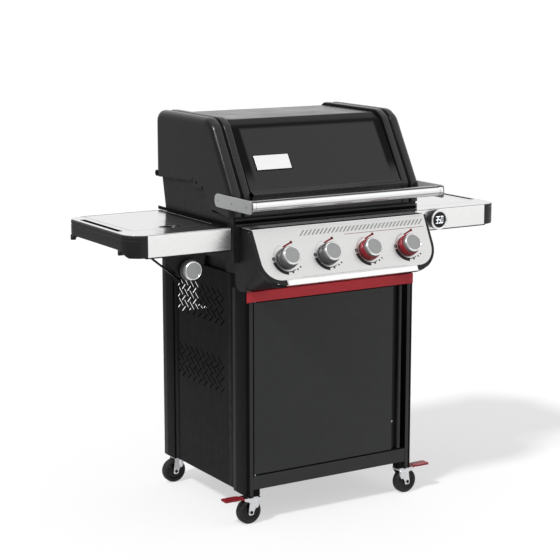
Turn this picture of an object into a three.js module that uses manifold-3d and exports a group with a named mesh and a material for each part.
// Gas barbecue grill on a cabinet: lidded cookbox, four burner knobs, two side shelves, side burner.
// Millimetres, +Z up, the front faces -Y. The origin is on the floor, under the middle of the grill.
import * as THREE from 'three';
import { mergeVertices } from 'three/addons/utils/BufferGeometryUtils.js';
import Module from 'manifold-3d';

const wasm = await Module();
wasm.setup();

// Fits and sheet stock
const FIT = 0.3;            // gap between pieces that touch
const SHEET = 2;            // structural sheet steel
const THIN = 1.5;           // stainless and cover sheet
const RUN = 0.5;            // running clearance of a turning piece
const OVERRUN = 5;          // how far a cutter passes the piece that it cuts
const STEPS = 4;            // facets of a rounded corner
const ROUND = 20;           // facets of a turned piece
const PLAIN = 10;           // facets of a small or hidden one

// Cabinet
const CAB_HALF = 301;       // half the cabinet's width
const CAB_DEPTH = 536;
const CAB_TOP = 755;
const up = (height) => CAB_TOP + height;            // a height above the cabinet's top
const over = (points) => points.map(([y, height, ...more]) => [y, up(height), ...more]);
const PANEL_FOOT = 92.3;    // lower edge of the side panels
const FOOT_Z = 84;          // underside of the caster feet
const POST_FOOT = 87;       // lower end of the posts, clear of the swinging pedals
const POST_FACE = 21;
const POST_SIDE = 76;
const POST_ROUND = 4;
const RAIL_WIDTH = 12;
const RAIL_HEIGHT = 26;
const RAIL_FOOT = 94;
const APRON_FOOT = 104.6;   // lower edge of the front rail
const APRON_TOP = 148;
const APRON_RETURN = 30;
const FLOOR_UPSTAND = 30;
const REAR_TOP = up(-199);       // top edge of the rear panel, the bay is open above it
const RED_FOOT = up(-73.3);
const RED_HEIGHT = 33;
const RED_RETURN = 34;
const RED_STAND = 2;        // how far the red rail stands before the posts

// Herringbone slits of the side panels
const SLIT_PITCH = 35.3;
const SLIT_FALL = [26.5, 20.5];     // run and drop of a slit that falls to the front
const SLIT_RISE = [22.4, 19.4];     // run and climb of a slit that rises to the front
const SLIT_WIDTH = 4.4;
const SLIT_COLUMNS = 9;
const SLIT_ROWS = 3;
const SLIT_START = 447.8;           // first falling slit, measured from the cabinet's front
const SLIT_STEP = [17.6, 15.8];     // from a falling slit to the rising one beside it
const SLIT_BANDS = [up(-69.7)];         // height of the top falling slits of each field

// Casters
const CASTER_X = 270;       // swivel axes
const CASTER_FRONT = 14.2;
const CASTER_REAR = 495.9;
const TRAIL = 19;
const WHEEL_R = 38.5;
const WHEEL_W = 28;
const WHEEL_CHAMFER = 6;
const WHEEL_DISH = 3;
const AXLE_R = 5;
const FORK_SHEET = 2.5;
const FORK_GAP = 2;         // between wheel and fork leg
const FORK_TIP_R = 9;
const RIVET_R = 7;
const RIVET_H = 2;
const CROWN_GAP = 2.2;      // between wheel and fork crown
const RACE_R = 15;
const RACE_SHARE = 1.5;             // fork plate's reach over the race's radius
const STEM_R = 5;
const STEM_LENGTH = 16;
const FOOT_HALF = [18, 17];
const FOOT_ROUND = 9;
const PEDAL_PIN = [38, 40.5];       // pedal pin, outboard of the swivel axis and above the wheel centre
const PEDAL_PIN_R = 2.5;
const PEDAL_EAR_R = 4.4;
const PEDAL_REACH = 106;            // pedal tip from the swivel axis
const PEDAL_ARM = [54, 26];         // end of the arm, and its width
const PEDAL_TOP = 7;                // pad top above the pin
const PEDAL_THICK = 5;
const PEDAL_WIDTH = 34;

// Control panel: a sloped stainless face over a black tub
const PANEL_TOP = [-41.1, up(150.2)];
const PANEL_LIP = [-123.1, up(-7.1)];
const PANEL_OVER = 6.6;             // the panel's ends stand past the cabinet's sides
const PANEL_HALF = CAB_HALF + PANEL_OVER;
const PANEL_ROUND = 75;
const PANEL_FLANGE = 22;            // rear edge of the top flange
const TUB_UNDER = [-3, up(-38.4)];      // where the tub's underside meets the red rail
const TUB_REAR = over([[50.8, -45.8], [59.9, 41], [58, 148]]);
const CAP_WALL = 5;
const CAP_SKIN = 3;
const CAP_SINK = 3;                 // tub ends start this far behind the face

// Knobs and valves
const KNOB_MID = 72.9;              // the middle pair from the grill's middle
const KNOB_END = 91.7;              // the outer pair from the panel's ends
const KNOB_X = [KNOB_END - PANEL_HALF, -KNOB_MID, KNOB_MID, PANEL_HALF - KNOB_END];
const KNOB_UP = 80.4;               // knob centres above the panel's lip, along the slope
const KNOB_R = 28.5;
const KNOB_SKIRT = [33, 17];
const KNOB_TALL = 32.5;
const KNOB_LIFT = 4.5;              // skirt above the face, it leaves room for the push
const KNOB_EDGE = 2.5;
const KNOB_BORE = 20;
const SIDE_KNOB_SCALE_SHARE = 0.82; // the side burner's knob is the same form, shallower
const STEM_PIN_R = 4;
const PIN_PLAY = 0.5;
const PUSH = 3;
const VALVE_R = 13;
const VALVE_FRONT = 18;             // valve body behind the panel's face
const VALVE_BACK = 60;
const VALVE_BORE = 36;
const STEM_TAIL = 30;
const PIPE_DEPTH = 48;              // manifold pipe behind the face
const PIPE_R = 8;
const JET_R = 6;
const JET_END = -20;
const MANIFOLD_TAB_X = 2 * KNOB_MID;
const MANIFOLD_TAB = [12, 4];

// Cookbox
const BOX_OVER = 27;                // the cookbox stands past the cabinet's sides
const BOX_HALF = CAB_HALF + BOX_OVER;
const BOX_FRONT = 28;
const BOX_WALL = 4;
const BOX_RIM = up(181);
const BOX_REAR_RIM = up(256);
const BOX_REAR = over([[400, 75], [451, 158], [472, 256]]);
const BOX_SHOULDER = up(45);
const BOX_THROAT = [95, up(20)];    // where the front wall turns in, and its height
const BOX_FLOOR = [95, 330, up(-20)];
const EAR = over([[150, 181], [196, 220], [214, 260], [237, 278], [258, 263]]);
const TROUGH_IN = 17.5;             // the trough passes between the cabinet's top rails
const TROUGH_HALF = CAB_HALF - TROUGH_IN;
const GREASE_SLOT = [60, 180, 240];
const LEDGE = [15, 3];
const BAR_LEDGE_Z = up(88);
const GRATE_LEDGE_Z = up(146.7);
const BOX_FOOT = [17, 5, 60];       // feet on the top rails: sides in from the cabinet's, length
const BOX_FOOT_Y = [70, 265];
const PIVOT = [237, up(260)];
const PIVOT_R = 6;
const BURNER_Z = up(42);
const BURNER_R = 12;
const BURNER_END = 322;
const CROSSOVER = [296, 7];
const HEAT_BAR = [34, 31];          // half width and height of an inverted-V bar
const GRATE_SIDES = [4, 10];        // a grate's inner side from the middle, its outer one from the cookbox's
const GRATE_DEPTH = [36, 430];
const GRATE_THICK = 12;
const GRATE_BORDER = 9;
const GRATE_BARS = 11;
const GRATE_BAR_W = 10;
const RACK_Z = up(235);
const RACK_THICK = 4;
const RACK_DEPTH = [345, 455];
const RACK_IN = 9;
const RACK_HALF = BOX_HALF - RACK_IN;
const RACK_WIRES = 5;
const RACK_WIRE = 5;
const RACK_TAB = [370, 430];        // support tabs on the ears
const RAIL_X = 158;                 // grease tray guides
const GUIDE_SHEET = 3;
const GUIDE_LIP = 14;
const GUIDE_Y = [120, 318];
const TRAY_TOP = up(-55);
const TRAY_DEEP = 58;
const TRAY_IN = 20;                 // tray walls in from its guides
const TRAY_HALF = RAIL_X - TRAY_IN;
const TRAY_Y = [112, 392];

// Side shelves
const SHELF_TOP = up(150);
const SHELF_GAP = 6.6;              // between the cookbox and the shelf
const SHELF_BACK = 5;               // the shelf's rear part is set back, the open lid passes it
const SHELF_SPAN = 330.4;
const SHELF_IN = BOX_HALF + SHELF_GAP;
const SHELF_IN_REAR = SHELF_IN + SHELF_BACK;
const SHELF_STEP_Y = 300;
const SHELF_OUT = SHELF_IN + SHELF_SPAN;
const SHELF_FRONT = 31.5;
const SHELF_REAR = 457.4;
const CAP_WIDTH = [60, 47.7];       // end cap's width at the front and at the rear
const STRIP_HEIGHT = 66.5;
const STRIP_RETURN = 18;
const CAP_START = SHELF_OUT - CAP_WIDTH[0];
const CAP_START_REAR = SHELF_OUT - CAP_WIDTH[1];
const CAP_FRONT_ROUND = 58;
const CAP_REAR_ROUND = 44;
const RIM_WALL = 17;
const RIM_FRONT_WALL = 11;
const RIM_HEIGHT = 48;
const RIM_INSET = 4;
const HOOK = [14, 20, 16];          // width, length and drop of the tool hooks
const HOOK_Y = [112, 436];
const SLOT = [SHELF_OUT - 31, SHELF_OUT - 19, 136, 401];
const FLANGE_DROP = 40;
const LUG = [9, 26, 24];            // shelf lugs: thickness, length and drop
const LUG_Y = [70, 240];
const COVER = [SHELF_IN + 11.4, SHELF_OUT - 57, 125, 452];
const COVER_GAP = 1.2;
const COVER_THICK = 6;
const HINGE_R = [1.3, 3];
const HINGE_INSET = 3.2;
const HINGE_DROP = 3.2;
const HINGE_X = [COVER[0] + 36, COVER[1] - 36];
const HINGE_W = 18;
const BOWL_RIM = [COVER[0] - 4.5, COVER[1] + 8, COVER[2] - 8, COVER[3] + 3];
const BOWL_HOLE = [COVER[0] + 16, COVER[1] - 16, COVER[2] + 16, COVER[3] - 60];
const BOWL_DEEP = SHELF_TOP - 39;
const BOWL_RIM_TOP = SHELF_TOP - 6.8;
const HEAD_R = [30, 36];
const HEAD_H = [6, 5];
const HEAD_AT = [(BOWL_HOLE[0] + BOWL_HOLE[1]) / 2, (BOWL_HOLE[2] + BOWL_HOLE[3]) / 2];
const TRIVET_BAR = [6, 8];          // width and height of the pan support's bars
const TRIVET_ARM = 42;
const TRIVET_SHARE = 0.66;          // side arms' length over the long arm's
const BRACE_Y = [410, 424];
const BRACE_FOOT = up(-69);
const BRACE_SLOPE_SHARE = 0.804;
const BRACE_THICK = 5;
const BRACKET_Y = 63;
const SIDE_KNOB_AT = [SHELF_IN + 123.4, SHELF_TOP - 116.5];
const BRACKET_WING = [92, 65];
const BRACKET_ROUND = 25;
const SIDE_VALVE = [11, 34];
const BRACKET_HIP = SHELF_TOP - 67;
const DISPLAY = [SHELF_IN + 75.4, SHELF_TOP - 33.3, 30, 22];

// Door
const DOOR_SIDES = [-276, 262];
const DOOR_GAP_Z = [APRON_TOP + 5, RED_FOOT - 2.7];
const DOOR_THICK = 18;
const CHANNEL = [228, 15.5];
const GRIP = [250.6, 262];
const GRIP_ROUND = 3;
const DOOR_HINGE = [-270, 6.5];
const DOOR_PIN = [3, 11.5];

// Lid and handle
const LID_OVER = 9;                 // the lid's sides stand past the cookbox's
const LID_HALF = BOX_HALF + LID_OVER;
const LID_WALL = 3.5;
const LID_FOOT = BOX_RIM;
const LID_FRONT = [19, 22];
const LID_CREASE = up(243);
const LID_SHOULDER = [137, up(438)];
const LID_TOP = over([[172, 459], [432, 461]]);
const LID_REAR = 498;
const LID_REAR_FOOT = up(253);
const LID_SHOULDER_ROUND = 26;
const LID_REAR_ROUND = 48;
const BAND_WIDTH = 65;              // raised band of each end
const BAND_INNER = LID_HALF - BAND_WIDTH;
const BAND_STEP = 9;                // how far the middle skin lies under the bands
const SKIN_GAP = 3.5;
const SKIN_HALF = BAND_INNER - SKIN_GAP;
const SKIN_LIP = [8.6, LID_CREASE + 1];
const SKIN_LIP_DROP = 7;
const LID_TONGUE = [16, 15, 40, 1.5];  // hinge tongue: half depth, drop and height from the pivot, gap
const LID_EDGE = over([[262, 264], [252, 281], [237, 286], [212, 280], [186, 235], [146, 191]]);
const HANDLE_AT = [-84.7, up(223.1)];
const HANDLE_R = 16;
const HANDLE_IN = 11;               // the bar ends inside the lid's sides
const HANDLE_HALF = LID_HALF - HANDLE_IN;
const COLLAR = [17.4, 12];
const ARM_THICK = 7.3;
const ARM_X = LID_HALF + FIT + ARM_THICK;
const ARM_FRONT = -101;
const ARM_REAR = 112;
const ARM_HALF_H = 20;
const ARM_BLOCK = -66;

// Shapes
const AXES = {
  x: new THREE.Matrix4().makeBasis(
    new THREE.Vector3(0, 1, 0), new THREE.Vector3(0, 0, 1), new THREE.Vector3(1, 0, 0)),
  y: new THREE.Matrix4().makeBasis(
    new THREE.Vector3(0, 0, 1), new THREE.Vector3(1, 0, 0), new THREE.Vector3(0, 1, 0)),
  z: new THREE.Matrix4(),
};

// A closed mesh as a solid that can be cut and joined
function solid(geometry) {
  const bare = geometry.clone();
  bare.deleteAttribute('normal');
  bare.deleteAttribute('uv');
  const merged = mergeVertices(bare, 1e-4);
  return new wasm.Manifold(new wasm.Mesh({
    numProp: 3,
    vertProperties: new Float32Array(merged.attributes.position.array),
    triVerts: new Uint32Array(merged.index.array),
  }));
}

// The corner points of an outline, each [u, v] or [u, v, radius]
function rounded(points, closed = true, steps = STEPS) {
  const out = [];
  points.forEach(([u, v, r], i) => {
    const at = new THREE.Vector2(u, v);
    if (!r || (!closed && (i === 0 || i === points.length - 1))) {
      out.push(at);
      return;
    }
    const before = points[(i + points.length - 1) % points.length];
    const after = points[(i + 1) % points.length];
    const a = new THREE.Vector2(before[0], before[1]).sub(at);
    const b = new THREE.Vector2(after[0], after[1]).sub(at);
    const half = Math.acos(a.dot(b) / (a.length() * b.length())) / 2;
    const reach = Math.min(r / Math.tan(half), a.length() / 2, b.length() / 2);
    const start = a.clone().setLength(reach).add(at);
    const end = b.clone().setLength(reach).add(at);
    const curve = new THREE.QuadraticBezierCurve(start, at, end);
    const radius = reach * Math.tan(half);
    const centre = a.clone().normalize().add(b.clone().normalize())
      .setLength(Math.hypot(radius, reach)).add(at);
    for (let k = 0; k <= steps; k += 1) {
      const p = curve.getPoint(k / steps).sub(centre).setLength(radius).add(centre);
      out.push(p);
    }
  });
  return out;
}

// A strip of even thickness on the left of an open run of points
function strip(points, thickness, steps = STEPS) {
  const path = rounded(points, false, steps);
  const inner = path.map((p, i) => {
    const before = i > 0 ? p.clone().sub(path[i - 1]).normalize() : null;
    const after = i < path.length - 1 ? path[i + 1].clone().sub(p).normalize() : null;
    const n1 = before ? new THREE.Vector2(-before.y, before.x) : null;
    const n2 = after ? new THREE.Vector2(-after.y, after.x) : null;
    if (!n1) return n2.multiplyScalar(thickness).add(p);
    if (!n2) return n1.multiplyScalar(thickness).add(p);
    const mid = n1.clone().add(n2).normalize();
    return mid.multiplyScalar(thickness / mid.dot(n1)).add(p);
  });
  return path.concat(inner.reverse());
}

// An outline run along an axis; outlines are (y, z) along x, (x, z) along y and (x, y) along z
function prism(axis, outline, from, to, holes = []) {
  const local = (p) => (axis === 'y' ? new THREE.Vector2(p.y, p.x) : p);
  const shape = new THREE.Shape(outline.map(local));
  const low = Math.min(from, to);
  const geometry = new THREE.ExtrudeGeometry(shape, {
    depth: Math.abs(to - from),
    bevelEnabled: false,
    curveSegments: STEPS,
  });
  geometry.translate(0, 0, low);
  const body = solid(geometry.applyMatrix4(AXES[axis]));
  const high = Math.max(from, to) + OVERRUN;
  return cut(body, holes.map((hole) => prism(axis, hole, low - OVERRUN, high)));
}

function run(axis, points, from, to, holes = []) {
  return prism(axis, rounded(points), from, to, holes);
}

function block(x0, x1, y0, y1, z0, z1) {
  const geometry = new THREE.BoxGeometry(Math.abs(x1 - x0), Math.abs(y1 - y0), Math.abs(z1 - z0));
  geometry.translate((x0 + x1) / 2, (y0 + y1) / 2, (z0 + z1) / 2);
  return solid(geometry);
}

// A round bar along an axis; at gives the two other coordinates
function rod(axis, at, radius, from, to, sides = ROUND) {
  const geometry = new THREE.CylinderGeometry(radius, radius, Math.abs(to - from), sides);
  geometry.rotateX(Math.PI / 2);
  geometry.translate(at[axis === 'y' ? 1 : 0], at[axis === 'y' ? 0 : 1], (from + to) / 2);
  return solid(geometry.applyMatrix4(AXES[axis]));
}

// A turned piece: profile of [radius, height] along an axis
function turned(axis, profile, at = [0, 0], sides = ROUND) {
  const geometry = new THREE.LatheGeometry(profile.map(([r, h]) => new THREE.Vector2(r, h)), sides);
  geometry.rotateX(Math.PI / 2);
  geometry.translate(at[axis === 'y' ? 1 : 0], at[axis === 'y' ? 0 : 1], 0);
  return solid(geometry.applyMatrix4(AXES[axis]));
}

function join(...solids) {
  return solids.flat().reduce((a, b) => a.add(b));
}

function cut(body, ...cutters) {
  return cutters.flat().reduce((a, b) => a.subtract(b), body);
}

const grill = new THREE.Group();

const LOOKS = {
  enamel: [0x202122, 0.25, 0.3],
  black_paint: [0x2b2c2d, 0.5, 0.3],
  panel_paint: [0x1f1f20, 0.55, 0.3],
  door_paint: [0x353636, 0.45, 0.3],
  red_paint: [0xa02c33, 0.45, 0.1],
  red_plastic: [0xb0222a, 0.45, 0],
  stainless: [0xd5d3d2, 0.3, 1],
  chrome: [0xdddddd, 0.12, 1],
  zinc: [0xb9bbbd, 0.35, 1],
  handle_grey: [0x9d9fa0, 0.45, 0.4],
  knob_grey: [0x97999a, 0.4, 0.4],
  black_plastic: [0x1d1e1f, 0.5, 0],
  rubber: [0x3b3d3d, 0.7, 0],
  cast_iron: [0x1b1b1c, 0.6, 0.4],
  brass: [0xb08d4a, 0.35, 1],
};

// A named mesh of one solid
function piece(name, body, look, parent = grill) {
  const { vertProperties, triVerts } = body.getMesh();
  const geometry = new THREE.BufferGeometry();
  geometry.setAttribute('position', new THREE.BufferAttribute(new Float32Array(vertProperties), 3));
  geometry.setIndex(new THREE.BufferAttribute(new Uint32Array(triVerts), 1));
  geometry.computeVertexNormals();
  const [color, roughness, metalness] = LOOKS[look];
  const mesh = new THREE.Mesh(geometry, new THREE.MeshStandardMaterial({ color, roughness, metalness }));
  mesh.name = name;
  parent.add(mesh);
  return mesh;
}

const SIDES = [['left', -1], ['right', 1]];
const FRONT_BACK = [['front', CASTER_FRONT], ['rear', CASTER_REAR]];
const crownZ = 2 * WHEEL_R + CROWN_GAP;

// Cabinet: two welded side frames, each of two posts, two rails, two caster feet and a shelf brace
function sideFrame(s) {
  const outer = s * CAB_HALF;
  const face = s * (CAB_HALF - POST_FACE);
  const turn = (points) => (s > 0 ? points : points.slice().reverse());
  const frontPost = prism('z', strip(turn([
    [face, 0], [outer, 0, POST_ROUND], [outer, POST_SIDE]]), SHEET),
  POST_FOOT, RED_FOOT - FIT);
  const upperFront = prism('z', strip(turn([
    [outer, SHEET * 2], [outer, POST_SIDE]]), SHEET),
  RED_FOOT - FIT - SHEET, CAB_TOP);
  const rearPost = prism('z', strip(turn([
    [outer, CAB_DEPTH - POST_SIDE], [outer, CAB_DEPTH, POST_ROUND], [face, CAB_DEPTH]]), SHEET),
  POST_FOOT, CAB_TOP);
  const railOut = s * (CAB_HALF - 2 * SHEET - RUN);
  const railIn = railOut - s * RAIL_WIDTH;
  const railY = [SHEET / 2, CAB_DEPTH - SHEET / 2];
  const lowRail = block(railIn, railOut, ...railY, RAIL_FOOT, RAIL_FOOT + RAIL_HEIGHT / 2);
  const topRail = block(railIn, railOut, SHEET * 2, railY[1], CAB_TOP - RAIL_HEIGHT, CAB_TOP);
  const topTie = block(railIn, outer - s * SHEET / 2, SHEET * 2, SHEET * 4,
    CAB_TOP - RAIL_HEIGHT, CAB_TOP);
  const feet = FRONT_BACK.map(([, y]) => {
    const near = y < CAB_DEPTH / 2 ? SHEET / 2 : y - FOOT_HALF[1];
    const far = y < CAB_DEPTH / 2 ? y + FOOT_HALF[1] : CAB_DEPTH - SHEET / 2;
    const x0 = s * (CASTER_X - FOOT_HALF[0]);
    return run('z', [[x0, near, FOOT_ROUND], [railOut, near], [railOut, far], [x0, far, FOOT_ROUND]],
      FOOT_Z, APRON_FOOT - FIT);
  });
  const bores = FRONT_BACK.map(([, y]) => rod('z', [s * CASTER_X, y], STEM_R + PIN_PLAY,
    FOOT_Z - OVERRUN, APRON_FOOT + RAIL_HEIGHT));
  const support = s < 0 ? BOWL_RIM_TOP - THIN : SHELF_TOP - THIN;
  const rise = support - FIT - BRACE_FOOT;
  const reach = rise / BRACE_SLOPE_SHARE;
  const brace = prism('y', strip(turn([
    [outer - s * SHEET / 2, BRACE_FOOT], [outer + s * reach, BRACE_FOOT + rise],
    [outer + s * (reach + POST_FACE), BRACE_FOOT + rise]]), -BRACE_THICK), ...BRACE_Y)
    .subtract(block(0, outer - s * SHEET / 2, ...BRACE_Y, 0, CAB_TOP));
  const braceFoot = block(outer, outer - s * SHEET, BRACE_Y[0], CAB_DEPTH - POST_SIDE + SHEET,
    BRACE_FOOT - RAIL_WIDTH, BRACE_FOOT + RAIL_WIDTH);
  return cut(join(frontPost, upperFront, rearPost, lowRail, topRail, topTie, feet, brace, braceFoot),
    bores);
}

SIDES.forEach(([side, s]) => piece(`${side}_side_frame`, sideFrame(s), 'black_paint'));

// Side panels with a field of herringbone slits
function slit(y, z, reach, sense) {
  const along = new THREE.Vector2(-reach[0], sense * reach[1]);
  const across = new THREE.Vector2(-along.y, along.x).setLength(SLIT_WIDTH / 2);
  const a = new THREE.Vector2(y, z).addScaledVector(along, -1 / 2);
  const b = new THREE.Vector2(y, z).addScaledVector(along, 1 / 2);
  return [a.clone().add(across), a.clone().sub(across), b.clone().sub(across), b.clone().add(across)];
}

function sidePanel(s) {
  const slits = [];
  SLIT_BANDS.forEach((top) => {
    for (let row = 0; row < SLIT_ROWS; row += 1) {
      for (let column = 0; column < SLIT_COLUMNS; column += 1) {
        const y = SLIT_START - column * SLIT_PITCH;
        const z = top - row * SLIT_PITCH;
        slits.push(slit(y, z, SLIT_FALL, -1));
        slits.push(slit(y - SLIT_STEP[0], z - SLIT_PITCH + SLIT_STEP[1], SLIT_RISE, 1));
      }
    }
  });
  const out = CAB_HALF - SHEET - FIT;
  const near = POST_ROUND + FIT;
  const far = CAB_DEPTH - near;
  return prism('x', rounded([
    [near, PANEL_FOOT], [far, PANEL_FOOT], [far, CAB_TOP], [SHEET * 4 + FIT, CAB_TOP],
    [SHEET * 4 + FIT, CAB_TOP - RAIL_HEIGHT - FIT], [near, CAB_TOP - RAIL_HEIGHT - FIT]]),
  s * out, s * (out - THIN), slits);
}

SIDES.forEach(([side, s]) => piece(`${side}_side_panel`, sidePanel(s), 'panel_paint'));

// Rear panel between the rear posts, and the floor pan with its front rail
const bayHalf = CAB_HALF - POST_FACE - FIT;
piece('rear_panel', join(
  block(-bayHalf, bayHalf, CAB_DEPTH - SHEET, CAB_DEPTH, APRON_FOOT + SHEET + FIT, REAR_TOP),
  block(-bayHalf, bayHalf, CAB_DEPTH - FLOOR_UPSTAND / 2, CAB_DEPTH, REAR_TOP - SHEET, REAR_TOP),
), 'panel_paint');

const floorBand = prism('x', strip([
  [APRON_RETURN, APRON_TOP], [0, APRON_TOP], [0, APRON_FOOT],
  [CAB_DEPTH - 2 * SHEET - FIT, APRON_FOOT],
  [CAB_DEPTH - 2 * SHEET - FIT, APRON_FOOT + FLOOR_UPSTAND]], SHEET), -bayHalf, bayHalf);
const pinHole = (z0, z1) => rod('z', DOOR_HINGE, DOOR_PIN[0] + RUN, z0, z1);
piece('floor_pan', cut(floorBand, pinHole(APRON_TOP - OVERRUN, APRON_TOP + OVERRUN)), 'black_paint');

// Red rail across the front, over the door
const redBand = prism('x', strip([
  [RED_RETURN, RED_FOOT + RED_HEIGHT], [-RED_STAND, RED_FOOT + RED_HEIGHT],
  [-RED_STAND, RED_FOOT], [RED_RETURN, RED_FOOT]], SHEET - FIT), -bayHalf, bayHalf);
const redFace = block(-CAB_HALF, CAB_HALF, -RED_STAND, -FIT, RED_FOOT, RED_FOOT + RED_HEIGHT);
piece('red_front_rail', cut(join(redBand, redFace), pinHole(RED_FOOT - OVERRUN, RED_FOOT + OVERRUN)),
  'red_paint');

// Door: a folded pan with a finger channel and a grip strip, on two pins
const doorShell = prism('z', strip([
  [GRIP[1], DOOR_THICK + CHANNEL[1] / 2], [GRIP[1], CHANNEL[1]], [CHANNEL[0], CHANNEL[1]],
  [CHANNEL[0], 0], [DOOR_SIDES[0], 0], [DOOR_SIDES[0], DOOR_THICK]].reverse(), THIN), ...DOOR_GAP_Z);
const doorLid = (z0, z1) => block(DOOR_SIDES[0], CHANNEL[0], 0, DOOR_THICK, z0, z1);
const doorPin = (z0, z1) => rod('z', DOOR_HINGE, DOOR_PIN[0], z0, z1, PLAIN);
piece('door_panel', join(
  doorShell,
  doorLid(DOOR_GAP_Z[0], DOOR_GAP_Z[0] + THIN),
  doorLid(DOOR_GAP_Z[1] - THIN, DOOR_GAP_Z[1]),
  doorPin(DOOR_GAP_Z[0] - DOOR_PIN[1], DOOR_GAP_Z[0] + THIN),
  doorPin(DOOR_GAP_Z[1] - THIN, DOOR_GAP_Z[1] + DOOR_PIN[1] / 2),
), 'door_paint');
piece('door_grip', run('z', [
  [GRIP[0], 0, GRIP_ROUND], [GRIP[1], 0, GRIP_ROUND],
  [GRIP[1], CHANNEL[1] - FIT], [GRIP[0], CHANNEL[1] - FIT]], ...DOOR_GAP_Z), 'door_paint');

// Control panel face, in the panel's own frame: up the slope is +Y and out of the face is +Z
const slope = new THREE.Vector2(PANEL_TOP[0] - PANEL_LIP[0], PANEL_TOP[1] - PANEL_LIP[1]);
const panelLength = slope.length();
const panelTilt = Math.atan2(slope.y, slope.x);
const toPanel = new THREE.Matrix4().makeRotationX(panelTilt)
  .setPosition(0, PANEL_LIP[0], PANEL_LIP[1]);
const onPanel = (body) => {
  const mesh = body.getMesh();
  const geometry = new THREE.BufferGeometry();
  geometry.setAttribute('position', new THREE.BufferAttribute(new Float32Array(mesh.vertProperties), 3));
  geometry.setIndex(new THREE.BufferAttribute(new Uint32Array(mesh.triVerts), 1));
  return solid(geometry.applyMatrix4(toPanel));
};
const knobAt = (i) => [KNOB_X[i], KNOB_UP];
const faceOutline = (inset, low) => [
  [-PANEL_HALF + inset, panelLength + OVERRUN], [-PANEL_HALF + inset, low + inset, PANEL_ROUND - inset],
  [PANEL_HALF - inset, low + inset, PANEL_ROUND - inset], [PANEL_HALF - inset, panelLength + OVERRUN]];
const lipHalf = PANEL_HALF - PANEL_ROUND;
const corners = onPanel(cut(
  prism('z', rounded([
    [-PANEL_HALF - OVERRUN, -OVERRUN], [PANEL_HALF + OVERRUN, -OVERRUN],
    [PANEL_HALF + OVERRUN, panelLength / 2], [-PANEL_HALF - OVERRUN, panelLength / 2]]), -OVERRUN, OVERRUN),
  prism('z', rounded([
    [-PANEL_HALF - FIT, panelLength], [-PANEL_HALF, 0, PANEL_ROUND],
    [PANEL_HALF, 0, PANEL_ROUND], [PANEL_HALF + FIT, panelLength]]), -2 * OVERRUN, 2 * OVERRUN),
));
const face = cut(
  prism('x', strip([[PANEL_FLANGE, PANEL_TOP[1]], PANEL_TOP, PANEL_LIP], THIN), -PANEL_HALF, PANEL_HALF),
  corners,
  KNOB_X.map((x, i) => onPanel(rod('z', knobAt(i), STEM_PIN_R + RUN, -OVERRUN, OVERRUN, PLAIN))),
);
const underDir = new THREE.Vector2(TUB_UNDER[0] - PANEL_LIP[0],
  TUB_UNDER[1] - PANEL_LIP[1]).setLength(THIN / 2);
const lipStart = [PANEL_LIP[0] + underDir.x, PANEL_LIP[1] + underDir.y + THIN / 2];
const faceFolds = prism('x', strip([lipStart, [TUB_UNDER[0], TUB_UNDER[1] + THIN / 2]], THIN),
  -lipHalf, lipHalf);
piece('control_fascia', join(face, faceFolds), 'stainless');

// Black tub ends of the control panel
function tubEnd(s) {
  const sink = (p) => [p[0] + CAP_SINK, p[1]];
  const wall = run('x', [sink(PANEL_TOP), sink(PANEL_LIP), TUB_UNDER, ...TUB_REAR].map(([y, z]) => [
    y, Math.min(z, PANEL_TOP[1] - THIN - FIT)]), s * (CAB_HALF + RUN), s * PANEL_HALF);
  const faceCut = onPanel(prism('z', rounded(faceOutline(0, 0)), -CAB_DEPTH, -THIN - FIT));
  const under = [sink(PANEL_TOP), sink(PANEL_LIP), [TUB_UNDER[0], TUB_UNDER[1]],
    [TUB_UNDER[0], PANEL_TOP[1] - THIN - FIT]].map(([y, z]) => [y, Math.min(z, PANEL_TOP[1] - THIN - FIT)]);
  const outer = run('x', under, s * (lipHalf + FIT), s * PANEL_HALF).intersect(faceCut);
  const hollowFace = onPanel(prism('z', rounded(faceOutline(CAP_SKIN, 0)), -CAB_DEPTH, OVERRUN));
  const raised = under.map(([y, z]) => [y, z]);
  const hollow = run('x', [
    [raised[0][0] - CAB_DEPTH, PANEL_TOP[1] + OVERRUN], [raised[1][0] - CAB_DEPTH, raised[1][1]],
    [raised[1][0], raised[1][1] + CAP_SKIN], [raised[2][0], raised[2][1] + CAP_SKIN],
    [raised[2][0] + CAB_DEPTH, raised[2][1] + CAP_SKIN],
      [raised[2][0] + CAB_DEPTH, PANEL_TOP[1] + OVERRUN]],
  s * (lipHalf - OVERRUN), s * (PANEL_HALF - CAP_WALL)).intersect(hollowFace);
  const boxNotch = block(s * CAB_HALF, s * (PANEL_HALF + OVERRUN), BOX_FRONT - FIT, CAB_DEPTH,
    BOX_SHOULDER - FIT, PANEL_TOP[1] + OVERRUN);
  return cut(join(outer.subtract(hollow), wall.intersect(faceCut)), boxNotch);
}

SIDES.forEach(([side, s]) => piece(`control_cap_${side}`, tubEnd(s), 'black_plastic'));
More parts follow.
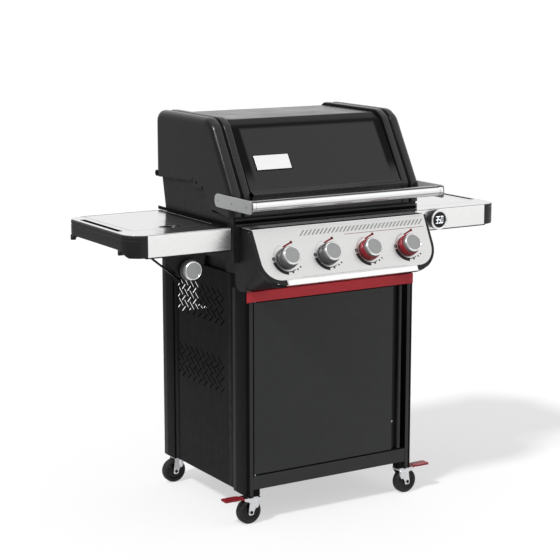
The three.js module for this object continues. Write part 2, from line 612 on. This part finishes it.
// Valves on one gas pipe behind the control panel
const boltOn = BOX_FRONT - FIT;
const pipeAt = [0, 1].map((k) => (k === 0
  ? PANEL_LIP[0] + KNOB_UP * Math.cos(panelTilt) + PIPE_DEPTH * Math.sin(panelTilt)
  : PANEL_LIP[1] + KNOB_UP * Math.sin(panelTilt) - PIPE_DEPTH * Math.cos(panelTilt)));
const pipeEnd = KNOB_X[3] + VALVE_R * 2;
piece('gas_manifold', cut(join(
  rod('x', pipeAt, PIPE_R, -pipeEnd, pipeEnd, PLAIN),
  KNOB_X.map((x, i) => onPanel(rod('z', knobAt(i), VALVE_R, -VALVE_BACK, -VALVE_FRONT, PLAIN))),
  KNOB_X.map((x) => rod('y', [x, BURNER_Z], JET_R, pipeAt[0], JET_END, PLAIN)),
  [-1, 1].map((s) => block(s * MANIFOLD_TAB_X, s * (MANIFOLD_TAB_X + MANIFOLD_TAB[0]), pipeAt[0], boltOn,
    pipeAt[1] - MANIFOLD_TAB[1], pipeAt[1] + MANIFOLD_TAB[1])),
), KNOB_X.map((x, i) => onPanel(rod('z', knobAt(i), STEM_PIN_R + PIN_PLAY, -VALVE_BORE, OVERRUN, PLAIN)))),
'brass');

// Knobs and their valve stems, each in a frame whose +Z points out of the face that it stands on
function knobForm(lift, tall) {
  return turned('z', [
    [0, KNOB_BORE], [STEM_PIN_R + PIN_PLAY, KNOB_BORE], [STEM_PIN_R + PIN_PLAY, lift],
    [KNOB_SKIRT[0] - KNOB_EDGE / 2, lift], [KNOB_SKIRT[0], lift + KNOB_EDGE / 2],
    [KNOB_SKIRT[0] - KNOB_EDGE, lift + KNOB_SKIRT[1]], [KNOB_R, lift + KNOB_SKIRT[1] + KNOB_EDGE / 2],
    [KNOB_R, lift + tall - KNOB_EDGE], [KNOB_R - KNOB_EDGE, lift + tall], [0, lift + tall]], [0, 0], ROUND);
}

function stemForm(tail) {
  return rod('z', [0, 0], STEM_PIN_R, -tail, KNOB_BORE - FIT, PLAIN);
}

KNOB_X.forEach((x, i) => {
  const seat = new THREE.Group();
  seat.position.set(x, PANEL_LIP[0] + KNOB_UP * Math.cos(panelTilt),
    PANEL_LIP[1] + KNOB_UP * Math.sin(panelTilt));
  seat.rotation.x = panelTilt;
  grill.add(seat);
  piece(`knob_${i + 1}`, knobForm(KNOB_LIFT, KNOB_TALL), 'knob_grey', seat);
  piece(`valve_stem_${i + 1}`, stemForm(STEM_TAIL), 'zinc', seat);
});

const sideSeat = new THREE.Group();
sideSeat.position.set(-SIDE_KNOB_AT[0], BRACKET_Y, SIDE_KNOB_AT[1]);
sideSeat.rotation.x = Math.PI / 2;
grill.add(sideSeat);
piece('side_knob', knobForm(KNOB_LIFT, KNOB_TALL * SIDE_KNOB_SCALE_SHARE), 'knob_grey', sideSeat);
piece('side_valve_stem', stemForm(STEM_TAIL), 'zinc', sideSeat);

// Cookbox: a tapered tub with two ears that carry the lid
const boxSide = [
  [BOX_FRONT, BOX_THROAT[1]], [BOX_FRONT, BOX_RIM], ...EAR, [BOX_REAR[2][0], BOX_REAR_RIM],
  BOX_REAR[1], BOX_REAR[0], [BOX_FLOOR[1] + LEDGE[0], BOX_SHOULDER], [BOX_FLOOR[1], BOX_FLOOR[2]],
  [BOX_THROAT[0], BOX_FLOOR[2]]];
const w = BOX_WALL;
const boxHollow = [
  [BOX_FRONT + w, BOX_THROAT[1] + w / 2], [BOX_FRONT + w, BOX_REAR_RIM + OVERRUN * w],
  [BOX_REAR[2][0] - w, BOX_REAR_RIM + OVERRUN * w], [BOX_REAR[2][0] - w, BOX_REAR_RIM],
  [BOX_REAR[1][0] - w, BOX_REAR[1][1]], [BOX_REAR[0][0] - w, BOX_REAR[0][1] + w / 2],
  [BOX_FLOOR[1] + LEDGE[0] - w, BOX_SHOULDER + w / 2], [BOX_FLOOR[1] - w, BOX_FLOOR[2] + w],
  [BOX_THROAT[0] + w / 2, BOX_FLOOR[2] + w]];
const below = (half, top) => [-1, 1].map((s) => block(s * half, s * (BOX_HALF + OVERRUN),
  0, CAB_DEPTH, BOX_FLOOR[2] - OVERRUN, top));
const tub = cut(prism('x', rounded(boxSide), -BOX_HALF, BOX_HALF), below(TROUGH_HALF, BOX_SHOULDER));
const hollow = cut(prism('x', rounded(boxHollow), -BOX_HALF + w, BOX_HALF - w),
  below(TROUGH_HALF - w, BOX_SHOULDER + w));
const backAt = (z) => {
  const [a, b] = z > BOX_REAR[1][1] ? [BOX_REAR[1], BOX_REAR[2]] : [BOX_REAR[0], BOX_REAR[1]];
  return a[0] + ((z - a[1]) / (b[1] - a[1])) * (b[0] - a[0]) - w;
};
const inside = BOX_HALF - w / 2;
const ledge = (z) => [
  block(-inside, inside, BOX_FRONT + w / 2, BOX_FRONT + w + LEDGE[0], z, z + LEDGE[1]),
  block(-inside, inside, backAt(z) - LEDGE[0], backAt(z) + w / 2, z, z + LEDGE[1])];
const feet = [-1, 1].flatMap((s) => BOX_FOOT_Y.map((y) => block(s * (CAB_HALF - BOX_FOOT[0]),
  s * (CAB_HALF - BOX_FOOT[1]),
  y, y + BOX_FOOT[2], CAB_TOP + FIT, BOX_SHOULDER + w / 2)));
const rackTabs = [-1, 1].map((s) => block(s * inside, s * (BOX_HALF - w - LEDGE[0]),
  ...RACK_TAB, RACK_Z - FIT - w, RACK_Z - FIT));
const studs = [-1, 1].flatMap((s) => [
  rod('x', PIVOT, PIVOT_R, s * (BOX_HALF - w), s * LID_HALF, PLAIN + 2),
]);
const guides = [-1, 1].flatMap((s) => [
  block(s * RAIL_X, s * (RAIL_X + GUIDE_SHEET), ...GUIDE_Y, TRAY_TOP - 2 * GUIDE_SHEET - FIT,
    BOX_FLOOR[2] + w / 2),
  block(s * (RAIL_X - GUIDE_LIP), s * (RAIL_X + GUIDE_SHEET), ...GUIDE_Y,
    TRAY_TOP - 2 * GUIDE_SHEET - FIT, TRAY_TOP - GUIDE_SHEET - FIT),
]);
piece('cookbox', cut(join(
  cut(tub, hollow), ledge(BAR_LEDGE_Z), ledge(GRATE_LEDGE_Z), feet, rackTabs, studs, guides,
), KNOB_X.map((x) => rod('y', [x, BURNER_Z], BURNER_R + RUN, BOX_FRONT - OVERRUN,
  BOX_FRONT + w + OVERRUN, PLAIN + 2)),
block(-GREASE_SLOT[0], GREASE_SLOT[0], GREASE_SLOT[1], GREASE_SLOT[2],
  BOX_FLOOR[2] - OVERRUN, BOX_FLOOR[2] + w + OVERRUN)), 'cast_iron');

// Burner tubes with their crossover
piece('burner_set', join(
  KNOB_X.map((x) => rod('y', [x, BURNER_Z], BURNER_R, JET_END + FIT, BURNER_END, PLAIN + 2)),
  rod('x', [CROSSOVER[0], BURNER_Z], CROSSOVER[1], KNOB_X[0], KNOB_X[3], PLAIN),
), 'stainless');

// Inverted-V bars over the burners
const barZ = BAR_LEDGE_Z + LEDGE[1] + FIT;
KNOB_X.forEach((x, i) => piece(`heat_bar_${i + 1}`, prism('y', strip([
  [x + HEAT_BAR[0], barZ], [x, barZ + HEAT_BAR[1]], [x - HEAT_BAR[0], barZ]], -THIN),
BOX_FRONT + w + FIT, backAt(barZ) - 2 * w), 'stainless'));

// Cooking grates
const grateZ = GRATE_LEDGE_Z + LEDGE[1] + FIT;
SIDES.forEach(([side, s]) => {
  const [g0, g1] = [GRATE_SIDES[0], BOX_HALF - GRATE_SIDES[1]];
  const pitch = (g1 - g0 - 2 * GRATE_BORDER + GRATE_BAR_W) / (GRATE_BARS + 1);
  const gaps = [];
  for (let i = 0; i <= GRATE_BARS; i += 1) {
    const x0 = g0 + GRATE_BORDER + i * pitch;
    const middle = (GRATE_DEPTH[0] + GRATE_DEPTH[1]) / 2;
    [[GRATE_DEPTH[0] + GRATE_BORDER, middle - GRATE_BORDER / 2],
      [middle + GRATE_BORDER / 2, GRATE_DEPTH[1] - GRATE_BORDER]].forEach(([y0, y1]) => gaps.push(rounded([
      [s * x0, y0], [s * (x0 + pitch - GRATE_BAR_W), y0],
      [s * (x0 + pitch - GRATE_BAR_W), y1], [s * x0, y1]])));
  }
  piece(`grate_${side}`, prism('z', rounded([
    [s * g0, GRATE_DEPTH[0]], [s * g1, GRATE_DEPTH[0]], [s * g1, GRATE_DEPTH[1]],
      [s * g0, GRATE_DEPTH[1]]]),
  grateZ, grateZ + GRATE_THICK, gaps), 'cast_iron');
});

// Warming rack on tabs inside the ears
const rackGaps = [];
const rackPitch = (RACK_DEPTH[1] - RACK_DEPTH[0] - RACK_WIRE) / (RACK_WIRES - 1);
for (let i = 0; i < RACK_WIRES - 1; i += 1) {
  const y0 = RACK_DEPTH[0] + RACK_WIRE + i * rackPitch;
  [[-RACK_HALF + RACK_WIRE, -RACK_WIRE / 2], [RACK_WIRE / 2, RACK_HALF - RACK_WIRE]].forEach(([x0, x1]) => (
    rackGaps.push(rounded([[x0, y0], [x1, y0], [x1, y0 + rackPitch - RACK_WIRE],
      [x0, y0 + rackPitch - RACK_WIRE]]))));
}
piece('warming_rack', prism('z', rounded([
  [-RACK_HALF, RACK_DEPTH[0]], [RACK_HALF, RACK_DEPTH[0]],
  [RACK_HALF, RACK_DEPTH[1]], [-RACK_HALF, RACK_DEPTH[1]]]), RACK_Z, RACK_Z + RACK_THICK, rackGaps),
    'chrome');

// Grease tray that slides out to the rear on its guides
const trayRim = RAIL_X - FIT - RUN;
piece('grease_tray', cut(join(
  block(-TRAY_HALF, TRAY_HALF, ...TRAY_Y, TRAY_TOP - TRAY_DEEP, TRAY_TOP),
  block(-trayRim, trayRim, ...TRAY_Y, TRAY_TOP - GUIDE_SHEET, TRAY_TOP),
), block(-TRAY_HALF + SHEET, TRAY_HALF - SHEET, TRAY_Y[0] + SHEET, TRAY_Y[1] - SHEET,
  TRAY_TOP - TRAY_DEEP + SHEET, TRAY_TOP + OVERRUN)), 'stainless');

// Side shelves: a folded top, a front strip and a black end cap
function shelfTop(s) {
  const top = [
    [s * SHELF_IN, SHELF_FRONT + FIT], [s * (SHELF_OUT - RIM_INSET), SHELF_FRONT + FIT,
      CAP_FRONT_ROUND - RIM_INSET],
    [s * (SHELF_OUT - RIM_INSET), SHELF_REAR, CAP_REAR_ROUND - RIM_INSET], [s * SHELF_IN_REAR, SHELF_REAR],
    [s * SHELF_IN_REAR, SHELF_STEP_Y], [s * SHELF_IN, SHELF_STEP_Y]];
  const holes = [rounded([
    [s * SLOT[0], SLOT[2]], [s * SLOT[1], SLOT[2]], [s * SLOT[1], SLOT[3]], [s * SLOT[0], SLOT[3]]])];
  if (s < 0) {
    holes.push(rounded([
      [s * (COVER[0] - COVER_GAP), COVER[2] - COVER_GAP],
        [s * (COVER[1] + COVER_GAP), COVER[2] - COVER_GAP],
      [s * (COVER[1] + COVER_GAP), COVER[3] + COVER_GAP],
        [s * (COVER[0] - COVER_GAP), COVER[3] + COVER_GAP]]));
  }
  const sheet = prism('z', rounded(top), SHELF_TOP - THIN, SHELF_TOP, holes);
  const drop = [SHELF_TOP - FLANGE_DROP, SHELF_TOP - THIN / 2];
  const innerFront = block(s * SHELF_IN, s * (SHELF_IN + THIN), SHELF_FRONT + STRIP_RETURN + 2 * FIT,
    SHELF_STEP_Y, ...drop);
  const innerRear = block(s * SHELF_IN_REAR, s * (SHELF_IN_REAR + THIN), SHELF_STEP_Y, SHELF_REAR, ...drop);
  const step = block(s * SHELF_IN, s * (SHELF_IN_REAR + THIN), SHELF_STEP_Y - THIN, SHELF_STEP_Y, ...drop);
  const rear = block(s * SHELF_IN_REAR, s * (CAP_START_REAR - FIT), SHELF_REAR - THIN, SHELF_REAR, ...drop);
  const lugs = LUG_Y.map((y) => block(s * (BOX_HALF + FIT), s * (SHELF_IN + THIN / 2), y, y + LUG[1],
    SHELF_TOP - FLANGE_DROP, SHELF_TOP - FLANGE_DROP + LUG[2]));
  return join(sheet, innerFront, innerRear, step, rear, lugs);
}

function shelfStrip(s) {
  const z0 = SHELF_TOP - STRIP_HEIGHT;
  const z1 = SHELF_TOP - THIN - FIT;
  return prism('x', strip([
    [SHELF_FRONT + STRIP_RETURN, z1], [SHELF_FRONT, z1], [SHELF_FRONT, z0],
      [SHELF_FRONT + STRIP_RETURN, z0]], THIN),
  s * SHELF_IN, s * (CAP_START - FIT));
}

function shelfCap(s) {
  const z1 = SHELF_TOP - THIN - FIT;
  const z0 = SHELF_TOP - RIM_HEIGHT;
  const foot = SHELF_TOP - STRIP_HEIGHT;
  const inner = SHELF_OUT - RIM_WALL;
  const rim = run('z', [
    [s * CAP_START, SHELF_FRONT], [s * SHELF_OUT, SHELF_FRONT, CAP_FRONT_ROUND],
    [s * SHELF_OUT, SHELF_REAR, CAP_REAR_ROUND], [s * CAP_START_REAR, SHELF_REAR],
    [s * CAP_START_REAR, SHELF_REAR - RIM_FRONT_WALL],
      [s * inner, SHELF_REAR - RIM_FRONT_WALL, CAP_REAR_ROUND / 2],
    [s * inner, SHELF_FRONT + RIM_FRONT_WALL, CAP_FRONT_ROUND - RIM_FRONT_WALL],
    [s * CAP_START, SHELF_FRONT + RIM_FRONT_WALL]], z0, z1);
  const skirt = run('z', [
    [s * CAP_START, SHELF_FRONT], [s * SHELF_OUT, SHELF_FRONT, CAP_FRONT_ROUND],
    [s * SHELF_OUT, HOOK_Y[0]], [s * (SHELF_OUT - HOOK[0]), HOOK_Y[0]],
    [s * (SHELF_OUT - HOOK[0]), SHELF_FRONT + RIM_FRONT_WALL, CAP_FRONT_ROUND - RIM_FRONT_WALL],
    [s * CAP_START, SHELF_FRONT + RIM_FRONT_WALL]], foot, z0 + OVERRUN);
  const skirtCut = run('x', [
    [HOOK_Y[0] + OVERRUN, z0], [SHELF_FRONT + CAP_FRONT_ROUND, z0],
      [SHELF_FRONT + CAP_FRONT_ROUND / 2, foot],
    [SHELF_FRONT + CAP_FRONT_ROUND / 2, foot - OVERRUN], [HOOK_Y[0] + OVERRUN, foot - OVERRUN]],
  s * CAP_START, s * (SHELF_OUT + OVERRUN));
  const hooks = HOOK_Y.map((y) => run('x', [
    [y - HOOK[1], z0 + OVERRUN], [y, z0 + OVERRUN], [y, z0 - HOOK[2]], [y - HOOK[1] / 2, z0 - HOOK[2]],
    [y - HOOK[1] / 2, z0 - HOOK[2] / 2], [y - HOOK[1], z0 - HOOK[2] / 2]],
  s * (SHELF_OUT - RIM_WALL), s * (SHELF_OUT - RIM_WALL + HOOK[0])));
  return join(rim, skirt.subtract(skirtCut), hooks);
}

SIDES.forEach(([side, s]) => {
  piece(`${side}_shelf_top`, shelfTop(s), 'stainless');
  piece(`${side}_shelf_front`, shelfStrip(s), 'stainless');
  piece(`${side}_shelf_end_cap`, shelfCap(s), 'black_plastic');
});

// Side burner: a bowl under the left shelf, its pan support and a flush cover hinged at the rear
const mid = HEAD_AT;
const bowlOuter = run('z', [
  [-BOWL_HOLE[0] + THIN, BOWL_HOLE[2] - THIN, BRACKET_ROUND],
    [-BOWL_HOLE[1] - THIN, BOWL_HOLE[2] - THIN, BRACKET_ROUND],
  [-BOWL_HOLE[1] - THIN, BOWL_HOLE[3] + THIN, BRACKET_ROUND],
    [-BOWL_HOLE[0] + THIN, BOWL_HOLE[3] + THIN, BRACKET_ROUND]],
BOWL_DEEP, BOWL_RIM_TOP);
const bowlInner = run('z', [
  [-BOWL_HOLE[0], BOWL_HOLE[2], BRACKET_ROUND], [-BOWL_HOLE[1], BOWL_HOLE[2], BRACKET_ROUND],
  [-BOWL_HOLE[1], BOWL_HOLE[3], BRACKET_ROUND], [-BOWL_HOLE[0], BOWL_HOLE[3], BRACKET_ROUND]],
BOWL_DEEP + THIN, BOWL_RIM_TOP + OVERRUN);
const bowlRim = cut(
  block(-BOWL_RIM[0], -BOWL_RIM[1], BOWL_RIM[2], BOWL_RIM[3], BOWL_RIM_TOP - THIN, SHELF_TOP - THIN - FIT),
  block(-BOWL_RIM[0] - THIN, -BOWL_RIM[1] + THIN, BOWL_RIM[2] + THIN, BOWL_RIM[3] - THIN,
    BOWL_RIM_TOP, SHELF_TOP),
);
const hingeAt = [COVER[3] - HINGE_INSET, SHELF_TOP - HINGE_DROP];
const lugX = HINGE_X.flatMap((x) => [x - HINGE_W / 2 - RUN, x + HINGE_W / 2 + RUN]);
const hingeRod = HINGE_X.map((x) => rod('x', hingeAt, HINGE_R[0],
  -x - HINGE_W / 2 - RUN - 2 * THIN, -x + HINGE_W / 2 + RUN + 2 * THIN, PLAIN));
const hingeLugs = lugX.map((x, i) => block(-x, -x + (i % 2 ? -2 : 2) * THIN, hingeAt[0] - HINGE_R[0],
  hingeAt[0] + HINGE_R[0], BOWL_RIM_TOP - THIN / 2, hingeAt[1]));
piece('side_burner_bowl', join(
  cut(join(bowlOuter, bowlRim), bowlInner),
  rod('z', [-mid[0], mid[1]], HEAD_R[0], BOWL_DEEP + THIN / 2, BOWL_DEEP + THIN + HEAD_H[0]),
  rod('z', [-mid[0], mid[1]], HEAD_R[1], BOWL_DEEP + THIN + HEAD_H[0] - RUN,
    BOWL_DEEP + THIN + HEAD_H[0] + HEAD_H[1]),
  hingeRod, hingeLugs,
), 'stainless');

const trivetZ = BOWL_DEEP + THIN + FIT;
const trivetTop = trivetZ + HEAD_H[0] + HEAD_H[1] + TRIVET_BAR[1] + THIN;
const legs = [[-1, 0], [1, 0], [0, -1], [0, 1]];
const armX = (BOWL_HOLE[1] - BOWL_HOLE[0]) / 2 - 2 * THIN;
const armY = (BOWL_HOLE[3] - BOWL_HOLE[2]) / 2 - 2 * THIN;
piece('side_burner_grate', join(
  block(-mid[0] - armX, -mid[0] + armX, mid[1] - TRIVET_BAR[0] / 2, mid[1] + TRIVET_BAR[0] / 2,
    trivetTop - TRIVET_BAR[1], trivetTop),
  block(-mid[0] - TRIVET_BAR[0] / 2, -mid[0] + TRIVET_BAR[0] / 2, mid[1] - armY, mid[1] + armY,
    trivetTop - TRIVET_BAR[1], trivetTop),
  [-1, 1].map((k) => block(-mid[0] + k * TRIVET_ARM - TRIVET_BAR[0] / 2,
    -mid[0] + k * TRIVET_ARM + TRIVET_BAR[0] / 2,
    mid[1] - armY * TRIVET_SHARE, mid[1] + armY * TRIVET_SHARE, trivetTop - TRIVET_BAR[1], trivetTop)),
  legs.map(([a, b]) => block(-mid[0] + a * (armX - TRIVET_BAR[0]) - TRIVET_BAR[0] / 2,
    -mid[0] + a * (armX - TRIVET_BAR[0]) + TRIVET_BAR[0] / 2,
    mid[1] + b * (armY - TRIVET_BAR[0]) - TRIVET_BAR[0] / 2,
      mid[1] + b * (armY - TRIVET_BAR[0]) + TRIVET_BAR[0] / 2,
    trivetZ, trivetTop - RUN)),
), 'cast_iron');

const coverTop = block(-COVER[0], -COVER[1], COVER[2], COVER[3], SHELF_TOP - THIN, SHELF_TOP);
const coverFlanges = cut(
  block(-COVER[0], -COVER[1], COVER[2], hingeAt[0] - HINGE_R[1] * 2, SHELF_TOP - COVER_THICK,
    SHELF_TOP - THIN / 2),
  block(-COVER[0] - THIN, -COVER[1] + THIN, COVER[2] + THIN, CAB_DEPTH,
    SHELF_TOP - COVER_THICK - OVERRUN, SHELF_TOP - THIN));
const knuckles = HINGE_X.map((x) => cut(
  join(rod('x', hingeAt, HINGE_R[1], -x - HINGE_W / 2 + RUN, -x + HINGE_W / 2 - RUN, PLAIN),
    block(-x - HINGE_W / 2 + RUN, -x + HINGE_W / 2 - RUN, hingeAt[0] - HINGE_R[1],
      hingeAt[0] + HINGE_R[1] / 2, hingeAt[1], SHELF_TOP - THIN / 2)),
  rod('x', hingeAt, HINGE_R[0] + FIT, -x - HINGE_W, -x + HINGE_W, PLAIN)));
piece('side_burner_cover', join(coverTop, coverFlanges, knuckles), 'stainless');

// The side burner's bracket hangs under the shelf and holds its valve
const [vx, vz] = [-SIDE_KNOB_AT[0], SIDE_KNOB_AT[1]];
const wingTop = SHELF_TOP - THIN - FIT;
const bracketFace = run('y', [
  [vx - BRACKET_WING[0], wingTop], [vx - BRACKET_WING[0], BRACKET_HIP],
  [vx - BRACKET_ROUND, vz - BRACKET_ROUND, BRACKET_ROUND],
    [vx + BRACKET_ROUND, vz - BRACKET_ROUND, BRACKET_ROUND],
  [vx + BRACKET_WING[1], BRACKET_HIP], [vx + BRACKET_WING[1], wingTop]], BRACKET_Y, BRACKET_Y + SHEET);
piece('side_burner_bracket', cut(join(
  bracketFace,
  block(vx - BRACKET_WING[0], vx + BRACKET_WING[1], BRACKET_Y, BRACKET_Y + STRIP_RETURN,
    wingTop - SHEET, wingTop),
  rod('y', [vx, vz], SIDE_VALVE[0], BRACKET_Y + SHEET / 2, BRACKET_Y + SIDE_VALVE[1], PLAIN + 2),
), rod('y', [vx, vz], STEM_PIN_R + PIN_PLAY, BRACKET_Y - OVERRUN, BRACKET_Y + STEM_TAIL + PUSH + RUN,
  PLAIN)),
'black_paint');

// Round display at the inner end of the right shelf's strip
const [dx, dz, dr, dh] = DISPLAY;
piece('display_housing', rod('y', [dx, dz], dr, SHELF_FRONT - dh, SHELF_FRONT - FIT, ROUND + STEPS),
  'black_plastic');

// Lid: two cast ends with raised bands, and a middle skin set back between them
const bandEdge = [
  [LID_FRONT[0], LID_FOOT], [LID_FRONT[1], LID_CREASE], [...LID_SHOULDER, LID_SHOULDER_ROUND],
  LID_TOP[0], [...LID_TOP[1], 0], [LID_REAR, LID_TOP[1][1], LID_REAR_ROUND], [LID_REAR, LID_REAR_FOOT]];

function lidEnd(s) {
  const side = run('x', [...bandEdge, ...LID_EDGE], s * (LID_HALF - LID_WALL), s * LID_HALF);
  const band = prism('x', strip(bandEdge, -LID_WALL), s * BAND_INNER, s * LID_HALF);
  const lip = prism('x', strip(bandEdge, -BAND_STEP), s * (SKIN_HALF + FIT),
    s * (BAND_INNER + LID_WALL / 2));
  const keep = block(s * SKIN_HALF, s * LID_HALF, 0, CAB_DEPTH, LID_CREASE + SKIN_LIP_DROP,
    LID_TOP[1][1] + OVERRUN);
  const [near, far] = [PIVOT[0] - LID_TONGUE[0], PIVOT[0] + LID_TONGUE[0]];
  const [low, high] = [PIVOT[1] - LID_TONGUE[1], PIVOT[1] + LID_TONGUE[2]];
  const tongue = run('x', [[near, low, LID_TONGUE[0]], [far, low, LID_TONGUE[0]], [far, high],
    [near, high]],
    s * (BOX_HALF + LID_TONGUE[3]), s * (LID_HALF - LID_WALL / 2));
  return cut(join(side, band, lip.intersect(keep), tongue),
    rod('x', PIVOT, PIVOT_R + RUN, s * (BOX_HALF - OVERRUN), s * (LID_HALF + OVERRUN), PLAIN + 2));
}

const [ly, lz] = LID_SHOULDER;
const skinRun = [
  [LID_FRONT[0] + FIT, LID_FOOT], [LID_FRONT[0] + FIT, SKIN_LIP[1] - SKIN_LIP_DROP],
  [SKIN_LIP[0], SKIN_LIP[1] - SKIN_LIP_DROP], [...SKIN_LIP],
  [LID_FRONT[1] + SKIN_LIP_DROP, SKIN_LIP[1] + SKIN_LIP_DROP],
  [ly + BAND_STEP, lz - BAND_STEP / 2, LID_SHOULDER_ROUND],
  [LID_TOP[0][0] + BAND_STEP, LID_TOP[0][1] - BAND_STEP],
  [LID_TOP[1][0], LID_TOP[1][1] - BAND_STEP],
  [LID_REAR - BAND_STEP, LID_TOP[1][1] - BAND_STEP, LID_REAR_ROUND - BAND_STEP],
  [LID_REAR - BAND_STEP, LID_REAR_FOOT]];

const lid = new THREE.Group();
grill.add(lid);
piece('lid_skin', prism('x', strip(skinRun, -SHEET), -SKIN_HALF, SKIN_HALF), 'enamel', lid);
SIDES.forEach(([side, s]) => piece(`lid_end_${side}`, lidEnd(s), 'enamel', lid));

// Handle: a round bar between two flat arms on the lid's ends
piece('handle_tube', join(
  rod('x', HANDLE_AT, HANDLE_R, -HANDLE_HALF + FIT, HANDLE_HALF - FIT),
  [-1, 1].map((s) => rod('x', HANDLE_AT, COLLAR[0], s * (HANDLE_HALF - COLLAR[1]),
    s * (HANDLE_HALF - FIT))),
), 'chrome', lid);
SIDES.forEach(([side, s]) => {
  const [hy, hz] = HANDLE_AT;
  const arm = run('x', [
    [ARM_FRONT, hz - ARM_HALF_H, PIVOT_R], [ARM_REAR, hz - ARM_HALF_H, ARM_HALF_H / 2],
    [ARM_REAR, hz + ARM_HALF_H, ARM_HALF_H / 2], [ARM_FRONT, hz + ARM_HALF_H, PIVOT_R]],
  s * (LID_HALF + FIT), s * ARM_X);
  const mount = run('x', [
    [ARM_FRONT, hz - ARM_HALF_H, PIVOT_R], [ARM_BLOCK, hz - ARM_HALF_H], [ARM_BLOCK, hz + ARM_HALF_H],
    [ARM_FRONT, hz + ARM_HALF_H, PIVOT_R]], s * HANDLE_HALF, s * ARM_X);
  piece(`handle_bracket_${side}`, join(arm, mount), 'handle_grey', lid);
});

// Casters: fork with its axle and stem, wheel, and on the front pair a brake pedal
function wheelForm(x, y) {
  const half = WHEEL_W / 2;
  return turned('y', [
    [AXLE_R + RUN, -half + WHEEL_DISH], [WHEEL_R - 2 * WHEEL_CHAMFER, -half + WHEEL_DISH],
    [WHEEL_R - WHEEL_CHAMFER, -half], [WHEEL_R, -half + WHEEL_CHAMFER], [WHEEL_R, half - WHEEL_CHAMFER],
    [WHEEL_R - WHEEL_CHAMFER, half], [WHEEL_R - 2 * WHEEL_CHAMFER, half - WHEEL_DISH],
    [AXLE_R + RUN, half - WHEEL_DISH], [AXLE_R + RUN, -half + WHEEL_DISH]], [x, WHEEL_R], ROUND);
}

function forkForm(s, x, y, braked) {
  const wx = x + s * TRAIL;
  const inner = WHEEL_W / 2 + FORK_GAP;
  const top = crownZ + FORK_SHEET;
  const [px, pz] = [x + s * PEDAL_PIN[0], WHEEL_R + PEDAL_PIN[1]];
  const leg = (k) => {
    const y0 = y + k * inner;
    const y1 = y + k * (inner + FORK_SHEET);
    const blade = prism('y', rounded([
      [x - s * RACE_R, top], [x + s * RACE_R * RACE_SHARE, top], [wx + s * FORK_TIP_R, WHEEL_R],
      [wx + s * FORK_TIP_R, WHEEL_R - FORK_TIP_R, FORK_TIP_R],
        [wx - s * FORK_TIP_R, WHEEL_R - FORK_TIP_R, FORK_TIP_R],
      [wx - s * FORK_TIP_R, WHEEL_R]], true, STEPS / 2), y0, y1);
    const rivet = rod('y', [wx, WHEEL_R], RIVET_R, y1 - k * FORK_SHEET / 2, y1 + k * RIVET_H, PLAIN);
    if (!braked) return [blade, rivet];
    const ear = join(
      run('y', [[x + s * STEM_R, top], [px, pz + PEDAL_EAR_R], [px, pz - PEDAL_EAR_R],
        [x + s * STEM_R, top - FOOT_HALF[0]]], y0, y1),
      rod('y', [px, pz], PEDAL_EAR_R, y0, y1, PLAIN));
    return [blade, rivet, ear];
  };
  const parts = [
    leg(-1), leg(1),
    block(x - s * RACE_R, x + s * RACE_R * RACE_SHARE, y - inner - FORK_SHEET / 2,
      y + inner + FORK_SHEET / 2, crownZ, top),
    rod('z', [x, y], RACE_R, top - FORK_SHEET / 2, FOOT_Z - FIT, PLAIN + 2),
    rod('z', [x, y], STEM_R, top, FOOT_Z + STEM_LENGTH, PLAIN),
    rod('y', [wx, WHEEL_R], AXLE_R, y - inner - FORK_SHEET / 2, y + inner + FORK_SHEET / 2, PLAIN + 2),
  ];
  if (braked) parts.push(rod('y', [px, pz], PEDAL_PIN_R, y - inner - FORK_SHEET / 2,
    y + inner + FORK_SHEET / 2, PLAIN));
  return join(...parts);
}

function pedalForm(s, x, y) {
  const [px, pz] = [x + s * PEDAL_PIN[0], WHEEL_R + PEDAL_PIN[1]];
  const armEnd = x + s * PEDAL_ARM[0];
  const tip = x + s * PEDAL_REACH;
  const high = pz + PEDAL_TOP;
  const arm = run('y', [
    [px, pz - PEDAL_EAR_R], [px, pz + PEDAL_EAR_R], [armEnd, high], [armEnd, high - PEDAL_THICK]],
  y - PEDAL_ARM[1] / 2, y + PEDAL_ARM[1] / 2);
  const boss = rod('y', [px, pz], PEDAL_EAR_R, y - PEDAL_ARM[1] / 2, y + PEDAL_ARM[1] / 2, PLAIN);
  const pad = run('z', [
    [armEnd - s * PEDAL_THICK, y - PEDAL_ARM[1] / 2], [armEnd + s * PEDAL_THICK, y - PEDAL_WIDTH / 2],
    [tip, y - PEDAL_WIDTH / 2, PEDAL_THICK], [tip, y + PEDAL_WIDTH / 2, PEDAL_THICK],
    [armEnd + s * PEDAL_THICK, y + PEDAL_WIDTH / 2], [armEnd - s * PEDAL_THICK, y + PEDAL_ARM[1] / 2]],
  high - PEDAL_THICK, high);
  return cut(join(arm, boss, pad), rod('y', [px, pz], PEDAL_PIN_R + FIT, y - PEDAL_WIDTH,
    y + PEDAL_WIDTH, PLAIN));
}

FRONT_BACK.forEach(([end, y]) => SIDES.forEach(([side, s]) => {
  const x = s * CASTER_X;
  const braked = end === 'front';
  piece(`caster_fork_${end}_${side}`, forkForm(s, x, y, braked), 'zinc');
  const wheel = new THREE.Group();
  wheel.position.set(0, y, 0);
  grill.add(wheel);
  piece(`caster_wheel_${end}_${side}`, wheelForm(x + s * TRAIL, y), 'rubber', wheel);
  if (braked) piece(`brake_pedal_${side}`, pedalForm(s, x, y), 'red_plastic');
}));

// The origin lies under the middle of the grill, between the knob faces and the rear posts
const knobFront = PANEL_LIP[0] + (KNOB_UP - KNOB_R + KNOB_EDGE) * Math.cos(panelTilt)
  - (KNOB_LIFT + KNOB_TALL) * Math.sin(panelTilt);
grill.position.y = -(CAB_DEPTH + knobFront) / 2;

export default grill;
